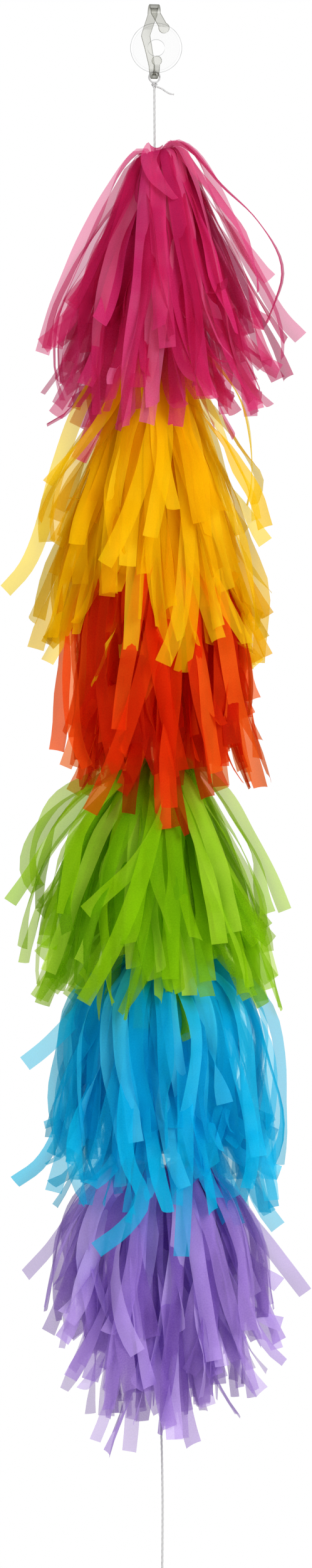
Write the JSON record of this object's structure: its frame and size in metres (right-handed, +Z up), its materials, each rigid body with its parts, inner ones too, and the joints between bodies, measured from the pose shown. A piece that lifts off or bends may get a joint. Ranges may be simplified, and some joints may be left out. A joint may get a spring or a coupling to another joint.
{
  "type": "tissue tassel tail garland",
  "caption": "Hanging party tail of stacked fringed tissue-paper tassels in rainbow colours on one white cord, with a clear plastic hook and disc at the top.",
  "frame": {"origin": "axis of the hook's arch, where the garland hangs from a rail", "axes": "+Z up along the cord, +X to the right, front of the garland towards -Y"},
  "size_m": [0.172, 0.172, 1.0122],
  "materials": {
    "magenta_tissue": "matte",
    "yellow_tissue": "matte",
    "red_tissue": "matte",
    "green_tissue": "matte",
    "blue_tissue": "matte",
    "purple_tissue": "matte",
    "white_cord": "matte",
    "binding_thread": "matte",
    "clear_plastic": "gloss"
  },
  "bodies": {
    "hook": {"hook": "clear_plastic"},
    "disc": {"disc": "clear_plastic"},
    "loop": {"hanging_loop": "white_cord", "top_knot": "white_cord", "tag_end": "white_cord"},
    "upper_cord": {"upper_cord": "white_cord"},
    "magenta_knot": {"magenta_knot": "white_cord"},
    "magenta_tassel": {"magenta_outer_sheet": "magenta_tissue", "magenta_middle_sheet": "magenta_tissue", "magenta_inner_sheet": "magenta_tissue", "magenta_tie": "binding_thread", "magenta_cord": "white_cord"},
    "yellow_knot": {"yellow_knot": "white_cord"},
    "yellow_tassel": {"yellow_outer_sheet": "yellow_tissue", "yellow_middle_sheet": "yellow_tissue", "yellow_inner_sheet": "yellow_tissue", "yellow_tie": "binding_thread", "yellow_cord": "white_cord"},
    "red_knot": {"red_knot": "white_cord"},
    "red_tassel": {"red_outer_sheet": "red_tissue", "red_middle_sheet": "red_tissue", "red_inner_sheet": "red_tissue", "red_tie": "binding_thread", "red_cord": "white_cord"},
    "green_knot": {"green_knot": "white_cord"},
    "green_tassel": {"green_outer_sheet": "green_tissue", "green_middle_sheet": "green_tissue", "green_inner_sheet": "green_tissue", "green_tie": "binding_thread", "green_cord": "white_cord"},
    "blue_knot": {"blue_knot": "white_cord"},
    "blue_tassel": {"blue_outer_sheet": "blue_tissue", "blue_middle_sheet": "blue_tissue", "blue_inner_sheet": "blue_tissue", "blue_tie": "binding_thread", "blue_cord": "white_cord"},
    "purple_knot": {"purple_knot": "white_cord"},
    "purple_tassel": {"purple_outer_sheet": "purple_tissue", "purple_middle_sheet": "purple_tissue", "purple_inner_sheet": "purple_tissue", "purple_tie": "binding_thread", "purple_cord": "white_cord"},
    "tail": {"tail_cord": "white_cord", "tail_knot": "white_cord"}
  },
  "joints": [
    {"name": "disc_lean", "type": "hinge", "parent": "hook", "child": "disc", "pos_m": [0.0012, -0.00291, -0.037], "axis": [1, 0, 0], "range_deg": [0, 9]},
    {"name": "loop_swing", "type": "hinge", "parent": "hook", "child": "loop", "pos_m": [0, 0, -0.0402], "axis": [-0.2079, 0.9781, 0], "range_deg": [-45, 45]},
    {"name": "cord_swing", "type": "hinge", "parent": "loop", "child": "upper_cord", "pos_m": [0, 0, -0.0459], "axis": [0.9781, 0.2079, 0], "range_deg": [-40, 40]},
    {"name": "magenta_bend", "type": "hinge", "parent": "upper_cord", "child": "magenta_knot", "pos_m": [0, 0, -0.09], "axis": [1, 0, 0], "range_deg": [-10, 10]},
    {"name": "magenta_twist", "type": "hinge", "parent": "magenta_knot", "child": "magenta_tassel", "pos_m": [0, 0, -0.09], "axis": [0, 0, 1], "continuous": true},
    {"name": "yellow_bend", "type": "hinge", "parent": "magenta_tassel", "child": "yellow_knot", "pos_m": [0, 0, -0.2212], "axis": [0, 1, 0], "range_deg": [-10, 10]},
    {"name": "yellow_twist", "type": "hinge", "parent": "yellow_knot", "child": "yellow_tassel", "pos_m": [0, 0, -0.2212], "axis": [0, 0, 1], "continuous": true},
    {"name": "red_bend", "type": "hinge", "parent": "yellow_tassel", "child": "red_knot", "pos_m": [0, 0, -0.3524], "axis": [1, 0, 0], "range_deg": [-10, 10]},
    {"name": "red_twist", "type": "hinge", "parent": "red_knot", "child": "red_tassel", "pos_m": [0, 0, -0.3524], "axis": [0, 0, 1], "continuous": true},
    {"name": "green_bend", "type": "hinge", "parent": "red_tassel", "child": "green_knot", "pos_m": [0, 0, -0.4836], "axis": [0, 1, 0], "range_deg": [-10, 10]},
    {"name": "green_twist", "type": "hinge", "parent": "green_knot", "child": "green_tassel", "pos_m": [0, 0, -0.4836], "axis": [0, 0, 1], "continuous": true},
    {"name": "blue_bend", "type": "hinge", "parent": "green_tassel", "child": "blue_knot", "pos_m": [0, 0, -0.6148], "axis": [1, 0, 0], "range_deg": [-10, 10]},
    {"name": "blue_twist", "type": "hinge", "parent": "blue_knot", "child": "blue_tassel", "pos_m": [0, 0, -0.6148], "axis": [0, 0, 1], "continuous": true},
    {"name": "purple_bend", "type": "hinge", "parent": "blue_tassel", "child": "purple_knot", "pos_m": [0, 0, -0.746], "axis": [0, 1, 0], "range_deg": [-10, 10]},
    {"name": "purple_twist", "type": "hinge", "parent": "purple_knot", "child": "purple_tassel", "pos_m": [0, 0, -0.746], "axis": [0, 0, 1], "continuous": true},
    {"name": "tail_swing", "type": "hinge", "parent": "purple_tassel", "child": "tail", "pos_m": [0, 0, -0.882], "axis": [1, 0, 0], "range_deg": [-30, 30]}
  ]
}
